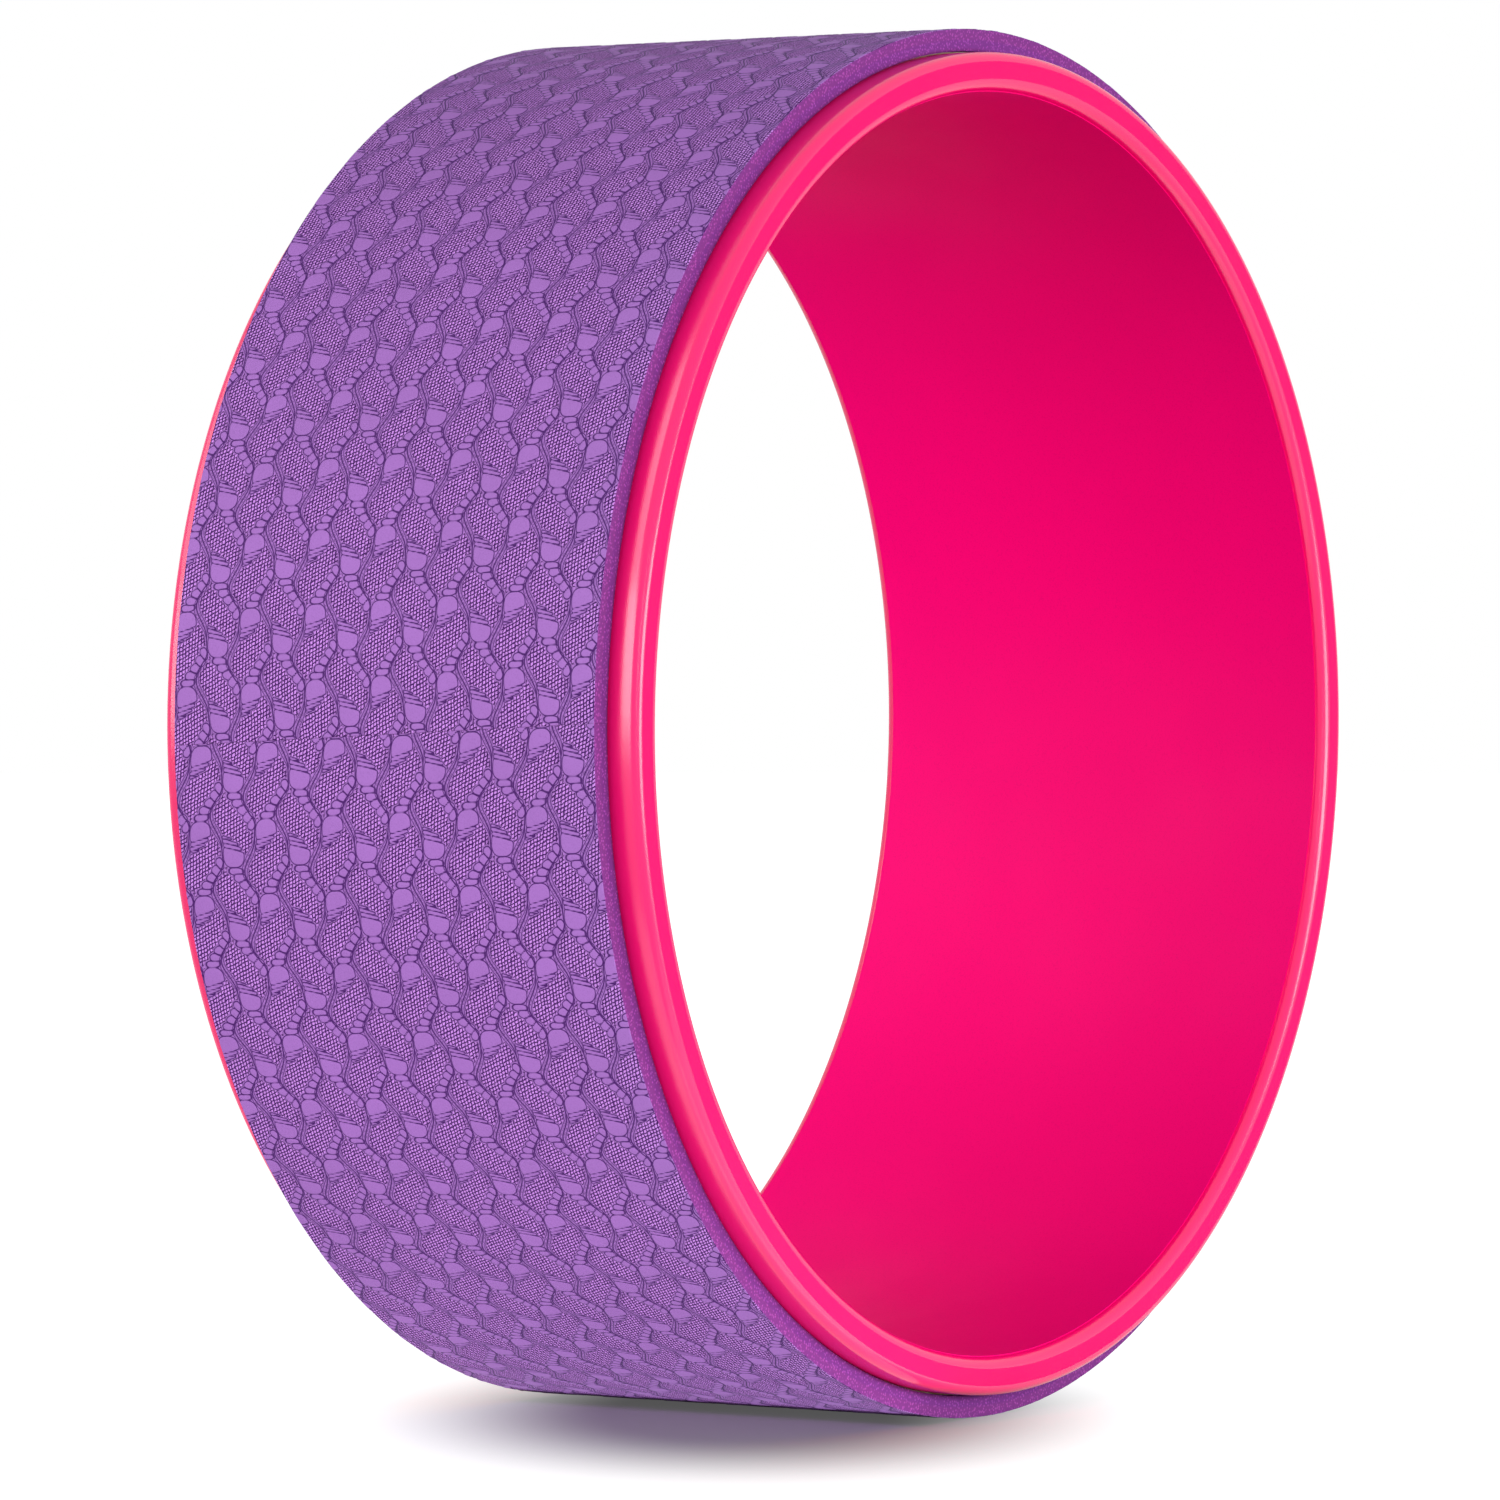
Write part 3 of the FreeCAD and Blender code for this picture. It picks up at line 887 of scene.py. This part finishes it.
class YOGAWHEEL_OT_stage(bpy.types.Operator):
    """Set the floor, the lamps and the camera"""
    bl_idname = "yoga_wheel.stage"
    bl_label = "Stage"

    FLOOR_REACH = 8.0
    FLOOR_SIDES = 96
    # the painted shadow's middle, from under the wheel's middle: towards the camera and to its right
    SHADOW_AHEAD, SHADOW_RIGHT = 0.026, -0.008
    # degrees to the right of the camera, height, distance, and the lamp's own width and height
    LAMPS = {
        "left_lamp": (-54, 0.2, 1.35, 1.1, 0.5),
        "front_lamp": (74, 0.05, 1.6, 1.0, 0.4),
        "shine_lamp": (-76, 0.87, 1.25, 0.9, 0.9),
        "bore_lamp": (30, 0.2, 1.6, 0.8, 0.5),
    }
    # place over the floor under the wheel's middle, width and depth
    GLOWS = {
        "tread_glow": ((-0.19, 0.0, 0.001), 0.32, 0.24),
        "rim_glow": ((0.0, -0.24, 0.001), 0.4, 0.3),
    }
    SENSOR_WIDE = 36.0
    NEAREST, FURTHEST = 0.05, 50.0

    def add_floor(self, look, middle):
        """A wide disc under the wheel, turned to the camera, with its middle in the painted shadow."""
        shape = bmesh.new()
        bmesh.ops.create_circle(
            shape, cap_ends=True, segments=self.FLOOR_SIDES, radius=self.FLOOR_REACH)
        mesh = bpy.data.meshes.new("floor_disc")
        shape.to_mesh(mesh)
        shape.free()
        mesh.materials.append(pale_floor(look))
        floor = bpy.data.objects.new("floor", mesh)
        floor.location = middle
        floor.rotation_euler.z = look.azimuth
        bpy.context.scene.collection.objects.link(floor)
        return floor

    def add_world(self, look):
        """Soft light from all round, weaker from above, white where it is seen."""
        world = bpy.data.worlds.new("studio")
        world.use_nodes = True
        tree = world.node_tree
        background = tree.nodes["Background"]
        background.inputs["Color"].default_value = (1.0, 1.0, 1.0, 1.0)
        level = tree.nodes.new("ShaderNodeMapRange")
        fade = tree.nodes.new("ShaderNodeMapRange")
        fade.inputs["To Min"].default_value = look.ambient
        fade.inputs["To Max"].default_value = look.overhead
        toward = tree.nodes.new("ShaderNodeSeparateXYZ")
        place = tree.nodes.new("ShaderNodeTexCoord")
        tree.links.new(place.outputs["Generated"], toward.inputs["Vector"])
        tree.links.new(toward.outputs["Z"], fade.inputs["Value"])
        tree.links.new(fade.outputs["Result"], level.inputs["To Min"])
        tree.links.new(seen_white(tree), level.inputs["Value"])
        tree.links.new(level.outputs["Result"], background.inputs["Strength"])
        bpy.context.scene.world = world

    def add_lamp(self, name, place, aim, width, height, watts):
        """A soft lamp that shines along aim, and isn't seen itself."""
        data = bpy.data.lights.new(name, "AREA")
        data.shape = "RECTANGLE"
        data.size = width
        data.size_y = height
        data.energy = watts
        lamp = bpy.data.objects.new(name, data)
        lamp.location = place
        lamp.rotation_mode = "QUATERNION"
        lamp.rotation_quaternion = aim.to_track_quat("-Z", "Y")
        lamp.visible_camera = False
        bpy.context.scene.collection.objects.link(lamp)
        return lamp

    def spare_floor(self, floor, lamps):
        """Keeps lamps off the floor, which then shows the soft shadow of the light from all round."""
        spared = bpy.data.collections.new("out_of_the_lamps")
        spared.objects.link(floor)
        spared.collection_objects[0].light_linking.link_state = "EXCLUDE"
        for lamp in lamps:
            lamp.light_linking.receiver_collection = spared

    def add_camera(self, look, right, up, back):
        """The camera, at the given axes, looking at the wheel."""
        data = bpy.data.cameras.new("camera")
        data.sensor_width = self.SENSOR_WIDE
        data.lens = look.lens
        data.clip_start = self.NEAREST
        data.clip_end = self.FURTHEST
        camera = bpy.data.objects.new("camera", data)
        axes = Matrix((right, up, back)).transposed().to_4x4()
        place = look.distance * back + look.sideways * right + look.upwards * up
        camera.matrix_world = Matrix.Translation(place) @ axes
        bpy.context.scene.collection.objects.link(camera)
        return camera

    def execute(self, context):
        look = context.scene.yoga_stage
        level = math.cos(look.elevation)
        back = Vector((math.sin(look.azimuth) * level, -math.cos(look.azimuth) * level,
                       math.sin(look.elevation)))
        right = Vector((math.cos(look.azimuth), math.sin(look.azimuth), 0.0))
        up = back.cross(right)
        sky = Vector((0.0, 0.0, 1.0))
        ahead = back.xy.to_3d()
        ground = CAD_BOX[0][2] * sky
        floor = self.add_floor(
            look, self.SHADOW_AHEAD * ahead + self.SHADOW_RIGHT * right + ground)
        self.add_world(look)

        lamps = {}
        for name, (turned, height, distance, width, tall) in self.LAMPS.items():
            aim = math.radians(turned)
            place = distance * (math.cos(aim) * back + math.sin(aim) * right) + height * sky
            lamps[name] = self.add_lamp(name, place, -place, width, tall, getattr(look, name))
        lamps["shine_lamp"].visible_diffuse = False
        lamps["bore_lamp"].visible_glossy = False
        self.spare_floor(floor, lamps.values())
        for name, (place, width, deep) in self.GLOWS.items():
            self.add_lamp(name, Vector(place) + ground, sky, width, deep, getattr(look, name))

        context.scene.camera = self.add_camera(look, right, up, back)
        context.scene.view_settings.view_transform = "Standard"
        return {"FINISHED"}


class YOGAWHEEL_PT_panel(bpy.types.Panel):
    """Lists the steps that build the wheel, and their settings"""
    bl_idname = "YOGAWHEEL_PT_panel"
    bl_label = "Yoga Wheel"
    bl_space_type = "VIEW_3D"
    bl_region_type = "UI"
    bl_category = "Yoga Wheel"

    def draw(self, context):
        for operators, settings in STEPS:
            box = self.layout.box()
            for operator in operators:
                box.operator(operator.bl_idname)
            group = getattr(context.scene, settings)
            for name in group.bl_rna.properties.keys():
                if name not in ("rna_type", "name"):
                    box.prop(group, name)


STEPS = (
    ((YOGAWHEEL_OT_core_hoop, YOGAWHEEL_OT_bond), "yoga_hoop"),
    ((YOGAWHEEL_OT_tread_mat,), "yoga_mat"),
    ((YOGAWHEEL_OT_stage,), "yoga_stage"),
)

CLASSES = (
    HoopSettings,
    MatSettings,
    StageSettings,
    YOGAWHEEL_OT_core_hoop,
    YOGAWHEEL_OT_bond,
    YOGAWHEEL_OT_tread_mat,
    YOGAWHEEL_OT_stage,
    YOGAWHEEL_PT_panel,
)


def register():
    """Adds the settings, the operators and the panel to Blender."""
    for item in CLASSES:
        bpy.utils.register_class(item)
    bpy.types.Scene.yoga_hoop = bpy.props.PointerProperty(type=HoopSettings)
    bpy.types.Scene.yoga_mat = bpy.props.PointerProperty(type=MatSettings)
    bpy.types.Scene.yoga_stage = bpy.props.PointerProperty(type=StageSettings)


def unregister():
    """Takes them out again."""
    del bpy.types.Scene.yoga_stage
    del bpy.types.Scene.yoga_mat
    del bpy.types.Scene.yoga_hoop
    for item in reversed(CLASSES):
        bpy.utils.unregister_class(item)


def main():
    """Builds the wheel and its stage."""
    register()
    bpy.ops.yoga_wheel.core_hoop()
    bpy.ops.yoga_wheel.bond()
    bpy.ops.yoga_wheel.tread_mat()
    bpy.ops.yoga_wheel.stage()


if __name__ == "__main__":
    main()
